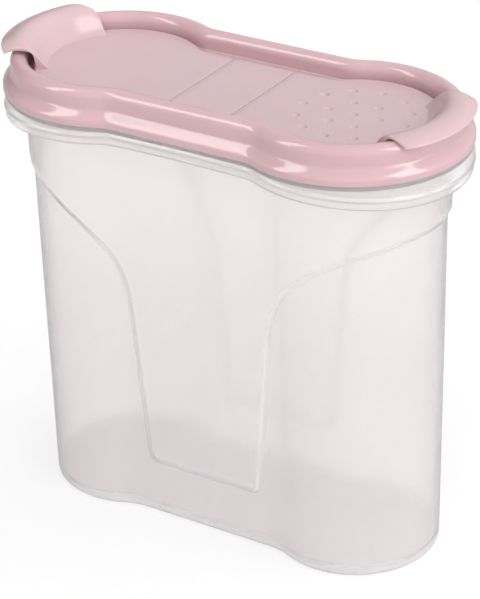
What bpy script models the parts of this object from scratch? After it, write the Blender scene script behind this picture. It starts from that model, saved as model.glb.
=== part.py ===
"""Dry food and spice keeper with a dog-bone plan: a clear container, a lid frame that snaps over its rim, and
a flap insert with a pouring flap at one end and a shaking flap at the other.

Metres, +Z up. The origin is the centre of the underside. +X runs along the jar towards the shaking end and
+Y towards the back. Every level surface of the jar has the same plan at another offset: two round lobes, a
straight waist, and a concave fillet between them.
"""
import math

import bmesh
import bpy
from mathutils import Vector
from mathutils.geometry import interpolate_bezier

MM = 0.001

# Clearances
FIT_GAP = 0.3 * MM          # between pieces that lie or snap against each other
SWING_GAP = 0.5 * MM        # round what the flaps dip into the deck
CUT_OVERRUN = 2.0 * MM      # how far a cutter passes the face that it cuts
JOIN_DEPTH = 0.3 * MM       # how far a joined detail is sunk into what carries it

# Plan of the jar
LOBE_OFFSET = 44.7 * MM     # from the jar's centre to the centre of each round end
WAIST_STEP = 4.2 * MM       # how much a waist half-width is less than its lobe radius
SKIRT_RADIUS = 38.5 * MM    # lobe radius of the lid's skirt, the widest outline
SKIRT_FILLET = 10.0 * MM    # concave radius between waist and lobe at the skirt

# Container
FLANGE_INSET = 0.4 * MM     # from the skirt in to the outer band of the rim
FLANGE_OVERHANG = 7.9 * MM  # from the band in to the top of the drafted wall
WALL_DRAFT = 1.8 * MM       # from the top of the drafted wall in to its foot
BASE_ROUND = 2.0 * MM
BODY_HEIGHT = 141.0 * MM    # height of the drafted wall
BODY_WALL = 1.3 * MM
FLOOR_THICKNESS = 1.6 * MM
FLOOR_FILLET = 2.5 * MM     # inside, between the floor and the wall

# Raised funnel panel, pressed out of the front and the back wall
PANEL_RISE = 1.3 * MM
PANEL_END_DROP = 16.5 * MM       # band round the lobe ends, down from the top of the drafted wall
PANEL_NECK_DROP = 62.0 * MM      # where the funnel's curve becomes the leg, down from the same height
PANEL_NECK_HALF = 26.5 * MM      # half-width of the leg there
PANEL_FOOT_HEIGHT = 21.5 * MM
PANEL_FOOT_HALF = 21.5 * MM
PANEL_FOOT_ROUND = 3.0 * MM
FUNNEL_END_SHARES = (0.53, 0.14)     # the curve's handle at the lobe end, of its width and its height
FUNNEL_NECK_SHARES = (0.03, 0.55)    # the curve's handle at the leg, of its width and its height

# Stepped rim of the container
FLANGE_DROP = 5.3 * MM      # height of the flange's outer band at the waist
FLANGE_ARCH = 4.2 * MM      # how much lower its edge hangs at the jar's two ends
FLANGE_WALL = 1.4 * MM
FLANGE_ROUND = 1.0 * MM
ROLL_RISE = 0.7 * MM        # how far the rolled line stands out of the band
ROLL_HEIGHT = 3.4 * MM      # centre of the rolled line above the band's lower edge
SHELF_RISE = 6.6 * MM       # from the drafted wall up to the ledge under the lid's skirt
SHELF_THICKNESS = 1.6 * MM
MOUTH_WALL = 1.6 * MM       # thickness of the upstand round the mouth
RIM_BEAD = 1.9 * MM         # how far the bead at the mouth stands out
RIM_BEAD_HEIGHT = 1.6 * MM
PLUG_CLEARANCE = 0.7 * MM   # straight mouth below the lid's sealing wall

# Lid frame
SKIRT_GAP = 0.9 * MM        # between the ledge and the skirt
DECK_RISE = 4.6 * MM        # from the skirt's lower edge up to the recessed deck
DECK_THICKNESS = 1.6 * MM
LID_WALL = 1.6 * MM
BEAD_RADIUS = 3.0 * MM      # round top of the ring
BEAD_INSET = 5.8 * MM       # its centre, inside the skirt
BEAD_RISE = 3.4 * MM        # from the deck up to its centre
SHOULDER_RISE = 4.5 * MM    # from the skirt's lower edge up to the crease under the ring's wall
SHOULDER_ANGLE = math.radians(45)
SHOULDER_REACH = 2.4 * MM   # how far the shoulder keeps near that slope
SKIRT_EDGE = 1.1 * MM       # upright part of the skirt
SKIRT_REACH = 0.9 * MM      # how softly the shoulder turns into it
SNAP_DEPTH = 0.9 * MM       # ridge inside the skirt that catches under the rim
SNAP_HALF = 0.5 * MM
PLUG_LENGTH = 7.1 * MM      # sealing wall inside the mouth, down from the deck

# Flap insert
INSERT_THICKNESS = 1.6 * MM
INSERT_SIDE_GAP = 5.3 * MM  # from the ring to the straight sides of the bridge and the flaps
FLAP_GAP = 1.8 * MM         # from the ring to the flaps' round ends
EDGE_EASE = 0.3 * MM        # small round along the top edges
HINGE_X = 11.6 * MM         # each living hinge, from the jar's centre
HINGE_HALF_GAP = 0.8 * MM   # half of the groove between the bridge and a flap
WEB_THICKNESS = 0.4 * MM
WEB_DEPTH = 0.35 * MM       # the web's top below the insert's top
STUD_RADIUS = 1.9 * MM      # the bridge's snap studs
STUD_HEAD_RADIUS = 2.7 * MM
STUD_HEAD_HEIGHT = 1.0 * MM
STUD_SETBACK = 5.6 * MM     # from a hinge to its studs
STUD_EDGE = 7.2 * MM        # from the bridge's side to its studs

# Finger tabs
TAB_FOOT_INSET = 6.4 * MM       # from the flap's edge in to the tab's foot
TAB_WALL_INSET = 1.5 * MM       # from the flap's edge in to the tab's steepest part
TAB_BACK_OFFSET = 0.4 * MM      # from the flap's edge out to the back of that part
TAB_OVERHANG = 0.5 * MM         # outside the skirt
POUR_TAB_CLEARANCE = 2.8 * MM   # above the ring
SHAKER_TAB_CLEARANCE = 0.5 * MM
TAB_DROOP = 1.7 * MM            # how far the outer edge lies below the crest
TAB_THICKNESS = 1.3 * MM
TAB_FOOT_ANGLE = math.radians(45)
TAB_OUTER_ANGLE = math.radians(36)
TAB_CORNER_SHARE = 0.03         # how far the outer radius draws in at the tab's ends

# Shaker
SIFTER_MARGIN = 3.2 * MM       # from the tab's foot in to the outer ring of holes
SIFTER_INNER_COUNT = 6
SIFTER_OUTER_COUNT = 12
SIFTER_HOLE_RADIUS = 1.7 * MM
PIN_LENGTH = 1.5 * MM           # below the flap
PIN_TIP_SHARE = 0.7
DIMPLE_RADIUS = 1.5 * MM
DIMPLE_DEPTH = 0.45 * MM
DIMPLE_FLOOR_SHARE = 0.55

# Pouring opening
POUR_COVER = 6.4 * MM           # how far the flap's round end covers the deck round it
POUR_SHIFT = 1.8 * MM           # its centre, from the lobe's centre outwards
POUR_RIM_WALL = 1.4 * MM        # wall of the sealing rim under the pouring flap
POUR_RIM_LENGTH = 2.0 * MM

# Facets
LOBE_STEPS = 12                 # on a quarter of the plan, from the lobe's end to the fillet
FILLET_STEPS = 3
BEAD_STEPS = 8
ROUND_STEPS = 3
CURVE_STEPS = 14
FLAP_STEPS = 40
TAB_STEPS = 14
HOLE_SIDES = 12
POUR_SIDES = 40

# Sizes that follow
FILLET_REACH = SKIRT_RADIUS + SKIRT_FILLET
FILLET_Y = FILLET_REACH - WAIST_STEP
FILLET_X = LOBE_OFFSET - math.sqrt(FILLET_REACH ** 2 - FILLET_Y ** 2)
CONTACT_ANGLE = math.atan2(FILLET_Y, FILLET_X - LOBE_OFFSET)
SHELF_TOP = BODY_HEIGHT + SHELF_RISE
SKIRT_BOTTOM = SHELF_TOP + SKIRT_GAP
CREASE_HEIGHT = SKIRT_BOTTOM + SHOULDER_RISE
DECK_TOP = SKIRT_BOTTOM + DECK_RISE
BEAD_CENTRE = DECK_TOP + BEAD_RISE
PLUG_BOTTOM = DECK_TOP - PLUG_LENGTH
FLANGE_RADIUS = SKIRT_RADIUS - FLANGE_INSET
BODY_RADIUS = FLANGE_RADIUS - FLANGE_OVERHANG
BASE_RADIUS = BODY_RADIUS - WALL_DRAFT
FLANGE_END = LOBE_OFFSET + FLANGE_RADIUS
BEAD_RING = SKIRT_RADIUS - BEAD_INSET
RING_OUTSIDE = BEAD_RING + BEAD_RADIUS
RING_INSIDE = BEAD_RING - BEAD_RADIUS
PLUG_RADIUS = RING_INSIDE + LID_WALL
MOUTH_RADIUS = PLUG_RADIUS + FIT_GAP
DECK_BOTTOM = DECK_TOP - DECK_THICKNESS
INSERT_BOTTOM = DECK_TOP + FIT_GAP
INSERT_TOP = INSERT_BOTTOM + INSERT_THICKNESS
WEB_TOP = INSERT_TOP - WEB_DEPTH
HINGE_HEIGHT = WEB_TOP - WEB_THICKNESS / 2
INSERT_HALF_WIDTH = RING_INSIDE - WAIST_STEP - INSERT_SIDE_GAP
FLAP_RADIUS = RING_INSIDE - FLAP_GAP
STUD_X = HINGE_X - STUD_SETBACK
STUD_Y = INSERT_HALF_WIDTH - STUD_EDGE
TAB_FOOT_RADIUS = FLAP_RADIUS - TAB_FOOT_INSET
TAB_WALL_RADIUS = FLAP_RADIUS - TAB_WALL_INSET
TAB_BACK_RADIUS = FLAP_RADIUS + TAB_BACK_OFFSET
TAB_OUTER_RADIUS = SKIRT_RADIUS + TAB_OVERHANG
SIFTER_OUTER_RING = TAB_FOOT_RADIUS - SIFTER_MARGIN
SIFTER_INNER_RING = SIFTER_OUTER_RING / 2
POUR_RADIUS = FLAP_RADIUS - POUR_COVER
POUR_OFFSET = LOBE_OFFSET + POUR_SHIFT

CLEAR = ("clear_plastic", (0.86, 0.85, 0.87, 1.0), 0.25)
PINK = ("pink_plastic", (0.72, 0.42, 0.44, 1.0), 0.28)


def clear_scene():
    for obj in list(bpy.data.objects):
        bpy.data.objects.remove(obj, do_unlink=True)


def make_collection(name):
    collection = bpy.data.collections.new(name)
    bpy.context.scene.collection.children.link(collection)
    return collection


def arc(centre, radius, start, end, steps):
    """Points on a round from one angle to another, both ends included, as (radius, height) pairs."""
    angles = [start + (end - start) * i / steps for i in range(steps + 1)]
    return [(centre[0] + radius * math.cos(a), centre[1] + radius * math.sin(a)) for a in angles]


def plan(radius):
    """The jar's plan for one lobe radius, counter-clockwise from the end of the right lobe."""
    quarter = arc((LOBE_OFFSET, 0), radius, 0, CONTACT_ANGLE, LOBE_STEPS)
    fillet_radius = FILLET_REACH - radius
    fillet = arc((FILLET_X, FILLET_Y), fillet_radius, CONTACT_ANGLE - math.pi, -math.pi / 2, FILLET_STEPS)
    quarter += fillet[1:]
    upper = quarter + [(-x, y) for x, y in reversed(quarter)]
    return upper + [(-x, -y) for x, y in upper[1:-1]]


def plan_ring(radius, height):
    return [(x, y, height) for x, y in plan(radius)]


def arched_ring(radius, height):
    """A ring at a height at the waist that hangs lower towards the jar's two ends."""
    return [(x, y, height - FLANGE_ARCH * (x / FLANGE_END) ** 2) for x, y in plan(radius)]


def skin(name, rings, collection):
    """A closed body through rings of equal count, with a flat cap on the first and on the last ring."""
    bm = bmesh.new()
    loops = [[bm.verts.new(point) for point in ring] for ring in rings]
    for low, high in zip(loops, loops[1:]):
        for i in range(len(low)):
            j = (i + 1) % len(low)
            bm.faces.new((low[i], low[j], high[j], high[i]))
    bm.faces.new(list(reversed(loops[0])))
    bm.faces.new(loops[-1])
    bmesh.ops.recalc_face_normals(bm, faces=bm.faces)
    mesh = bpy.data.meshes.new(name)
    bm.to_mesh(mesh)
    bm.free()
    obj = bpy.data.objects.new(name, mesh)
    collection.objects.link(obj)
    return obj


def drums(name, places, sizes, collection, sides=HOLE_SIDES):
    """Separate drums or cones in one mesh: sizes is (lower radius, upper radius, bottom, top)."""
    low_radius, high_radius, low, high = sizes
    bm = bmesh.new()
    for x, y in places:
        made = bmesh.ops.create_cone(bm, cap_ends=True, segments=sides, radius1=low_radius,
                                     radius2=high_radius, depth=high - low)
        bmesh.ops.translate(bm, verts=made["verts"], vec=Vector((x, y, (low + high) / 2)))
    mesh = bpy.data.meshes.new(name)
    bm.to_mesh(mesh)
    bm.free()
    obj = bpy.data.objects.new(name, mesh)
    collection.objects.link(obj)
    return obj


def combine(obj, other, operation):
    modifier = obj.modifiers.new(other.name, "BOOLEAN")
    modifier.operation = operation
    modifier.solver = "EXACT"
    modifier.object = other


def as_tool(obj):
    obj.hide_render = True
    obj.display_type = "WIRE"
    return obj


def finish(obj, material, origin=(0, 0, 0)):
    """Shades a piece, gives it its own material, and puts its origin where it turns."""
    name, colour, roughness = material
    own = bpy.data.materials.new(f"{obj.name}_{name}")
    own.use_nodes = True
    shader = own.node_tree.nodes["Principled BSDF"]
    shader.inputs["Base Color"].default_value = colour
    shader.inputs["Roughness"].default_value = roughness
    shader.inputs["Metallic"].default_value = 0.0
    obj.data.materials.append(own)
    obj.data.shade_smooth()
    obj.data.set_sharp_from_angle(angle=math.radians(35))
    for vertex in obj.data.vertices:
        vertex.co -= Vector(origin)
    obj.location = origin


def wall_radius(height):
    """Lobe radius of the container's drafted outer wall at a height."""
    return BASE_RADIUS + (BODY_RADIUS - BASE_RADIUS) * height / BODY_HEIGHT


def wall_block(name, offset, low, high, collection):
    rings = [plan_ring(wall_radius(height) + offset, height) for height in (low, high)]
    return skin(name, rings, collection)


def panel_edge(inset):
    """Right half of the funnel panel's edge, from the lobe's end down to its foot, as (x, height) pairs."""
    reach = LOBE_OFFSET + BODY_RADIUS + PANEL_RISE + CUT_OVERRUN
    end = Vector((reach, BODY_HEIGHT - PANEL_END_DROP + inset))
    neck = Vector((PANEL_NECK_HALF - inset, BODY_HEIGHT - PANEL_NECK_DROP + inset))
    span = end - neck
    end_handle = end - Vector((span.x * FUNNEL_END_SHARES[0], span.y * FUNNEL_END_SHARES[1]))
    neck_handle = neck + Vector((span.x * FUNNEL_NECK_SHARES[0], span.y * FUNNEL_NECK_SHARES[1]))
    curve = [tuple(point) for point in interpolate_bezier(end, end_handle, neck_handle, neck, CURVE_STEPS)]
    corner = (PANEL_FOOT_HALF - inset - PANEL_FOOT_ROUND, PANEL_FOOT_HEIGHT + inset + PANEL_FOOT_ROUND)
    return curve + arc(corner, PANEL_FOOT_ROUND, 0, -math.pi / 2, ROUND_STEPS)


def panel_prism(name, inset, collection):
    """A prism from front to back with the panel's outline, which trims a raised wall to the panel."""
    edge = panel_edge(inset)
    depth = SKIRT_RADIUS + CUT_OVERRUN
    top = SHELF_TOP + CUT_OVERRUN
    outline = [(edge[0][0], top)] + edge + [(-x, z) for x, z in reversed(edge)] + [(-edge[0][0], top)]
    return skin(name, [[(x, y, z) for x, z in outline] for y in (-depth, depth)], collection)


def make_container(parts, tools):
    """Outer block with its rim, raised panels added, then the cavity and the back of the panels cut out."""
    shelf_bottom = SHELF_TOP - SHELF_THICKNESS
    flange_bottom = SHELF_TOP - FLANGE_DROP
    flange_inside = FLANGE_RADIUS - FLANGE_WALL
    upstand = MOUTH_RADIUS + MOUTH_WALL
    rim_outside = upstand + RIM_BEAD
    rim_top = height_at(shoulder_curve(LID_WALL), rim_outside) - FIT_GAP
    rim_round = RIM_BEAD_HEIGHT / 2
    roll = flange_bottom + ROLL_HEIGHT
    foot = arc((wall_radius(BASE_ROUND) - BASE_ROUND, BASE_ROUND), BASE_ROUND, -math.pi / 2, 0, ROUND_STEPS)
    foot += [(BODY_RADIUS, BODY_HEIGHT), (upstand, shelf_bottom), (flange_inside, shelf_bottom)]
    edge = [(flange_inside, flange_bottom), (FLANGE_RADIUS, flange_bottom)]
    edge += arc((FLANGE_RADIUS, roll), ROLL_RISE, -math.pi / 2, math.pi / 2, ROUND_STEPS)
    shelf = arc((FLANGE_RADIUS - FLANGE_ROUND, SHELF_TOP - FLANGE_ROUND), FLANGE_ROUND, 0, math.pi / 2,
                ROUND_STEPS)
    shelf += [(upstand, SHELF_TOP), (upstand, rim_top - RIM_BEAD_HEIGHT)]
    shelf += arc((rim_outside - rim_round, rim_top - rim_round), rim_round, -math.pi / 2, math.pi / 2,
                 ROUND_STEPS)
    shelf += [(MOUTH_RADIUS, rim_top)]
    rings = [plan_ring(r, z) for r, z in foot] + [arched_ring(r, z) for r, z in edge]
    rings += [plan_ring(r, z) for r, z in shelf]
    container = skin("container", rings, parts)

    panel_top = BODY_HEIGHT + (shelf_bottom - BODY_HEIGHT) * PANEL_RISE / (upstand - BODY_RADIUS) + JOIN_DEPTH
    raised = wall_block("panel_raise", PANEL_RISE, BASE_ROUND, panel_top, tools)
    combine(raised, as_tool(panel_prism("panel_outline", 0, tools)), "INTERSECT")
    combine(container, as_tool(raised), "UNION")

    mouth_bottom = PLUG_BOTTOM - PLUG_CLEARANCE
    step = MOUTH_RADIUS - (BODY_RADIUS - BODY_WALL)
    cavity_top = mouth_bottom - step
    floor_radius = wall_radius(FLOOR_THICKNESS) - BODY_WALL
    inside = arc((floor_radius - FLOOR_FILLET, FLOOR_THICKNESS + FLOOR_FILLET), FLOOR_FILLET, -math.pi / 2, 0,
                 ROUND_STEPS)
    inside += [(wall_radius(cavity_top) - BODY_WALL, cavity_top), (MOUTH_RADIUS, mouth_bottom),
               (MOUTH_RADIUS, rim_top + CUT_OVERRUN)]
    cavity = skin("cavity", [plan_ring(r, z) for r, z in inside], tools)
    combine(container, as_tool(cavity), "DIFFERENCE")

    press_top = cavity_top + PANEL_RISE + JOIN_DEPTH
    pressed = wall_block("panel_press", PANEL_RISE - BODY_WALL, FLOOR_THICKNESS, press_top, tools)
    combine(pressed, as_tool(panel_prism("panel_press_outline", BODY_WALL, tools)), "INTERSECT")
    combine(container, as_tool(pressed), "DIFFERENCE")
    finish(container, CLEAR)


def shoulder_curve(wall):
    """The shoulder from the crease down to the skirt, or its underside at a wall's thickness inside."""
    start = Vector((RING_OUTSIDE - wall, CREASE_HEIGHT - wall * math.tan(SHOULDER_ANGLE / 2)))
    end = Vector((SKIRT_RADIUS - wall, SKIRT_BOTTOM + SKIRT_EDGE))
    start_handle = start + SHOULDER_REACH * Vector((math.sin(SHOULDER_ANGLE), -math.cos(SHOULDER_ANGLE)))
    end_handle = end + Vector((0, SKIRT_REACH))
    return [tuple(p) for p in interpolate_bezier(start, start_handle, end_handle, end, BEAD_STEPS)]


def height_at(curve, radius):
    """Height at which a falling section curve passes a lobe radius."""
    for (r0, z0), (r1, z1) in zip(curve, curve[1:]):
        if r0 <= radius <= r1:
            return z0 + (z1 - z0) * (radius - r0) / (r1 - r0)
    return curve[0][1]


def lid_profile():
    """The lid's section from the top of the deck over the ring and the skirt and back under the deck."""
    bead = (BEAD_RING, BEAD_CENTRE)
    outside = [(RING_INSIDE, DECK_TOP)] + arc(bead, BEAD_RADIUS, math.pi, 0, BEAD_STEPS)
    outside += shoulder_curve(0) + [(SKIRT_RADIUS, SKIRT_BOTTOM)]
    skirt_inside = SKIRT_RADIUS - LID_WALL
    inside = [(skirt_inside, SKIRT_BOTTOM), (skirt_inside - SNAP_DEPTH, SKIRT_BOTTOM + SNAP_HALF)]
    inside += reversed(shoulder_curve(LID_WALL))
    inside += arc(bead, BEAD_RADIUS - LID_WALL, 0, math.pi, BEAD_STEPS)
    inside += [(PLUG_RADIUS, PLUG_BOTTOM), (RING_INSIDE, PLUG_BOTTOM), (RING_INSIDE, DECK_BOTTOM)]
    return outside + inside


def sifter_places():
    """Centres of the sifter holes: one, then a ring of six, then a ring of twelve."""
    places = [(LOBE_OFFSET, 0)]
    for radius, count in ((SIFTER_INNER_RING, SIFTER_INNER_COUNT), (SIFTER_OUTER_RING, SIFTER_OUTER_COUNT)):
        for i in range(count):
            angle = 2 * math.pi * i / count
            places.append((LOBE_OFFSET + radius * math.cos(angle), radius * math.sin(angle)))
    return places


def stud_places():
    return [(x, y) for x in (-STUD_X, STUD_X) for y in (-STUD_Y, STUD_Y)]


def make_lid_frame(parts, tools):
    lid = skin("lid_frame", [plan_ring(r, z) for r, z in lid_profile()], parts)
    low = DECK_BOTTOM - CUT_OVERRUN
    high = DECK_TOP + CUT_OVERRUN
    holes = drums("sifter_holes", sifter_places(), (SIFTER_HOLE_RADIUS, SIFTER_HOLE_RADIUS, low, high), tools)
    pour = drums("pour_hole", [(-POUR_OFFSET, 0)], (POUR_RADIUS, POUR_RADIUS, low, high), tools, POUR_SIDES)
    stud_hole = STUD_RADIUS + FIT_GAP
    studs = drums("stud_holes", stud_places(), (stud_hole, stud_hole, low, high), tools)
    for cutter in (holes, pour, studs):
        combine(lid, as_tool(cutter), "DIFFERENCE")
    finish(lid, PINK)


def make_hinge_bridge(parts, tools):
    """The fixed middle of the flap insert, with snap studs through the deck."""
    rings = []
    for height, ease in ((INSERT_BOTTOM, 0), (INSERT_TOP - EDGE_EASE, 0), (INSERT_TOP, EDGE_EASE)):
        x = HINGE_X - HINGE_HALF_GAP - ease
        y = INSERT_HALF_WIDTH - ease
        rings.append([(x, -y, height), (x, y, height), (-x, y, height), (-x, -y, height)])
    bridge = skin("hinge_bridge", rings, parts)
    head_top = DECK_BOTTOM - FIT_GAP
    head_bottom = head_top - STUD_HEAD_HEIGHT
    shanks = drums("stud_shanks", stud_places(), (STUD_RADIUS, STUD_RADIUS, head_bottom + JOIN_DEPTH,
                                                  INSERT_BOTTOM + JOIN_DEPTH), tools)
    heads = drums("stud_heads", stud_places(), (STUD_RADIUS, STUD_HEAD_RADIUS, head_bottom, head_top), tools)
    combine(bridge, as_tool(shanks), "UNION")
    combine(bridge, as_tool(heads), "UNION")
    finish(bridge, PINK)


def make_web(name, side, parts):
    """A living hinge: the thin web left in the groove between the bridge and a flap."""
    half = HINGE_HALF_GAP - FIT_GAP
    low = side * HINGE_X - half
    high = side * HINGE_X + half
    rings = []
    for height in (WEB_TOP - WEB_THICKNESS, WEB_TOP):
        rings.append([(x, y, height) for x, y in ((low, -INSERT_HALF_WIDTH), (high, -INSERT_HALF_WIDTH),
                                                  (high, INSERT_HALF_WIDTH), (low, INSERT_HALF_WIDTH))])
    web = skin(name, rings, parts)
    finish(web, PINK)


def flap_ring(side, height, ease):
    """Outline of a flap: a straight part from the hinge, then most of a disc."""
    radius = FLAP_RADIUS - ease
    half = INSERT_HALF_WIDTH - ease
    start = HINGE_X + HINGE_HALF_GAP + ease
    corner = math.pi - math.asin(half / radius)
    outline = [(start, -half)] + arc((LOBE_OFFSET, 0), radius, -corner, corner, FLAP_STEPS) + [(start, half)]
    return [(side * x, y, height) for x, y in outline]


def tab_section(clearance):
    """The finger tab's section from its foot over the crest to the outer edge and back underneath."""
    under_top = BEAD_CENTRE + BEAD_RADIUS + clearance
    top = under_top + TAB_THICKNESS
    outer_top = top - TAB_DROOP
    foot = Vector((TAB_FOOT_RADIUS, INSERT_TOP - JOIN_DEPTH))
    foot_handle = Vector((TAB_WALL_RADIUS, INSERT_TOP - JOIN_DEPTH))
    wall_handle = Vector((TAB_WALL_RADIUS, top))
    crest = Vector((BEAD_RING, top))
    upper = [tuple(p) for p in interpolate_bezier(foot, foot_handle, wall_handle, crest, TAB_STEPS)]
    nose = TAB_THICKNESS / 2
    edge = Vector((TAB_OUTER_RADIUS - nose, outer_top))
    droop_handle = Vector(((BEAD_RING + TAB_OUTER_RADIUS) / 2, top))
    upper += [tuple(p) for p in interpolate_bezier(crest, droop_handle, edge, edge, ROUND_STEPS)[1:]]
    tip = (TAB_OUTER_RADIUS - nose, outer_top - nose)
    rounded = arc(tip, nose, math.pi / 2, -math.pi / 2, ROUND_STEPS)[1:]
    under_crest = Vector((BEAD_RING, under_top))
    root = Vector((FLAP_RADIUS - EDGE_EASE, INSERT_TOP - JOIN_DEPTH))
    back_handle = Vector((TAB_BACK_RADIUS, under_top))
    under = [tuple(p) for p in interpolate_bezier(under_crest, back_handle, back_handle, root, CURVE_STEPS)]
    return upper + rounded + under


def tab_ring(side, share, clearance):
    """The tab's section at a share of its half-angle, narrower outside than at its foot."""
    ring = []
    span = TAB_OUTER_RADIUS - TAB_FOOT_RADIUS
    draw = 1 - TAB_CORNER_SHARE * abs(share) ** 6
    for radius, height in tab_section(clearance):
        out = max(0.0, (radius - TAB_FOOT_RADIUS) / span)
        angle = share * (TAB_FOOT_ANGLE + (TAB_OUTER_ANGLE - TAB_FOOT_ANGLE) * out)
        drawn = radius - (1 - draw) * out * radius
        ring.append((side * (LOBE_OFFSET + drawn * math.cos(angle)), drawn * math.sin(angle), height))
    return ring


def make_flap(name, side, clearance, parts, tools):
    """A flap plate with its curled finger tab, not yet finished."""
    levels = ((INSERT_BOTTOM, 0), (INSERT_TOP - EDGE_EASE, 0), (INSERT_TOP, EDGE_EASE))
    flap = skin(name, [flap_ring(side, height, ease) for height, ease in levels], parts)
    shares = [2 * i / TAB_STEPS - 1 for i in range(TAB_STEPS + 1)]
    tab = skin(f"{name}_tab", [tab_ring(side, share, clearance) for share in shares], tools)
    combine(flap, as_tool(tab), "UNION")
    return flap


def make_pour_flap(parts, tools):
    flap = make_flap("pour_flap", -1, POUR_TAB_CLEARANCE, parts, tools)
    outside = POUR_RADIUS - SWING_GAP
    bottom = INSERT_BOTTOM - POUR_RIM_LENGTH
    top = INSERT_BOTTOM + JOIN_DEPTH
    rim = drums("pour_rim", [(-POUR_OFFSET, 0)], (outside, outside, bottom, top), tools, POUR_SIDES)
    inside = outside - POUR_RIM_WALL
    bore_sizes = (inside, inside, bottom - CUT_OVERRUN, INSERT_BOTTOM)
    bore = drums("pour_rim_bore", [(-POUR_OFFSET, 0)], bore_sizes, tools, POUR_SIDES)
    combine(rim, as_tool(bore), "DIFFERENCE")
    combine(flap, as_tool(rim), "UNION")
    finish(flap, PINK, (-HINGE_X, 0, HINGE_HEIGHT))


def make_shaker_flap(parts, tools):
    flap = make_flap("shaker_flap", 1, SHAKER_TAB_CLEARANCE, parts, tools)
    pin = SIFTER_HOLE_RADIUS - SWING_GAP
    pins = drums("sifter_pins", sifter_places(), (pin * PIN_TIP_SHARE, pin, INSERT_BOTTOM - PIN_LENGTH,
                                                  INSERT_BOTTOM + JOIN_DEPTH), tools)
    combine(flap, as_tool(pins), "UNION")
    spread = 1 + CUT_OVERRUN / DIMPLE_DEPTH * (1 - DIMPLE_FLOOR_SHARE)
    dimples = drums("dimples", sifter_places(), (DIMPLE_RADIUS * DIMPLE_FLOOR_SHARE, DIMPLE_RADIUS * spread,
                                                 INSERT_TOP - DIMPLE_DEPTH, INSERT_TOP + CUT_OVERRUN), tools)
    combine(flap, as_tool(dimples), "DIFFERENCE")
    finish(flap, PINK, (HINGE_X, 0, HINGE_HEIGHT))


def main():
    clear_scene()
    parts = make_collection("spice_jar")
    tools = make_collection("cutters")
    make_container(parts, tools)
    make_lid_frame(parts, tools)
    make_hinge_bridge(parts, tools)
    make_web("pour_hinge_web", -1, parts)
    make_web("shaker_hinge_web", 1, parts)
    make_pour_flap(parts, tools)
    make_shaker_flap(parts, tools)


main()
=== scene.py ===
"""Looks of the dry food and spice keeper: a frosted clear container under a pale pink two-flap lid."""
import math

import bmesh
import bpy
import numpy as np
from mathutils import Matrix, Vector
from mathutils.geometry import interpolate_bezier


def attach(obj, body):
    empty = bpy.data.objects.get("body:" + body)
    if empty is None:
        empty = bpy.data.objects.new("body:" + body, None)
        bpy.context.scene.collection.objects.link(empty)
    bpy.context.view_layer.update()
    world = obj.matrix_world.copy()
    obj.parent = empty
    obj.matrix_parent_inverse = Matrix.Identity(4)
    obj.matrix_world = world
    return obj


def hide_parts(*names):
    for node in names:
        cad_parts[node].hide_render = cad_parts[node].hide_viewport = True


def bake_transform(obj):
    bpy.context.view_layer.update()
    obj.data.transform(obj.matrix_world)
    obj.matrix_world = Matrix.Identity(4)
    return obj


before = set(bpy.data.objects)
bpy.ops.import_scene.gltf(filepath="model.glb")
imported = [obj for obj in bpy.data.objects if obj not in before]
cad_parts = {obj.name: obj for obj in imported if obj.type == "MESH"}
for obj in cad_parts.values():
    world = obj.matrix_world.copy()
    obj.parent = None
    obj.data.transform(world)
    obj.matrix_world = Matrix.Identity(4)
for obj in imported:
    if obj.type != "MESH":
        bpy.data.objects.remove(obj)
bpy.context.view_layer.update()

MM = 0.001

# The photograph's camera
CAMERA_AZIMUTH = math.radians(32.878)
CAMERA_ELEVATION = math.radians(27.807)
CAMERA_ROLL = math.radians(-1.583)
CAMERA_DISTANCE = 0.8695
CAMERA_TARGET = Vector((0.0017, 0, 0.0819))
SENSOR_WIDTH = 36.0
FOCAL_PIXELS = 2599.6
AXIS_PIXEL = (243.02, 288.99)
PHOTO_SIZE = (480, 599)

# The studio's soft light: its strength at the horizon and overhead, and how much it grows towards one side
HORIZON_LIGHT, ZENITH_LIGHT = 0.98, 1.12
SIDE_LIGHT = 1
BRIGHT_SIDE = (0.95, -0.3, 0)

# The surroundings that show past the paper, and the side where reflections of them get darker: the cosines
# from that side at which this starts and ends, and the share that is lost there
SURROUNDINGS = (0.8, 0.8, 0.8, 1)
UNLIT_SIDE = (-0.92, 0.39, 0)
UNLIT_RANGE = (0.75, 0.95)
UNLIT_LOSS = 0.85

# Softboxes: azimuth and elevation in degrees, distance from their target and size in m, and power in W
SOFTBOX_TARGET = Vector((0, 0, 0.1))
SOFTBOXES = {
    "left_softbox": (-43, 40, 1.2, (0.3, 0.95), 4.1),
    "right_softbox": (86, 36, 0.9, (0.4, 0.6), 3.8),
}

# The paper, and the share of its look that is its own glow: seen openly, and seen through the jar's walls
FLOOR_REACH = 6.0
PAPER_COLOUR = (0.78, 0.78, 0.78, 1)
FLOOR_SEEN = 0.5
FLOOR_BEHIND = 0.76

# Strength of that glow, and of its reflection in the lid
FLOOR_GLOW, FLOOR_GLOSS_GLOW = 1.25, 0.3

# Surfaces: noises as (scale, detail), for the mottle in the colour, the uneven gloss and the fine relief, and
# that relief's strength and distance in m
PINK_MOTTLE = (45, 3)
PINK_SURFACE = ((220, 4), (600, 1), 0.04, 0.0001)
CLEAR_SURFACE = ((120, 3), (60, 2), 0.05, 0.0004)

# Pink plastics: the two ends of the mottle, the roughness, and the strength of the gloss
GLOSS_PINK = ((0.62, 0.415, 0.445), (0.645, 0.44, 0.47), (0.07, 0.13), 0.6)
# The satin pink has a rougher gloss, and a lighter, less red colour that is a painted sheen: the white gloss on
# the flaps' tops put into their colour
SATIN_PINK_AND_PAINTED_SHEEN = ((0.62, 0.445, 0.47), (0.645, 0.47, 0.495), (0.16, 0.23), 0.42)
MOTTLE_STOPS = (0.3, 0.7)

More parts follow.
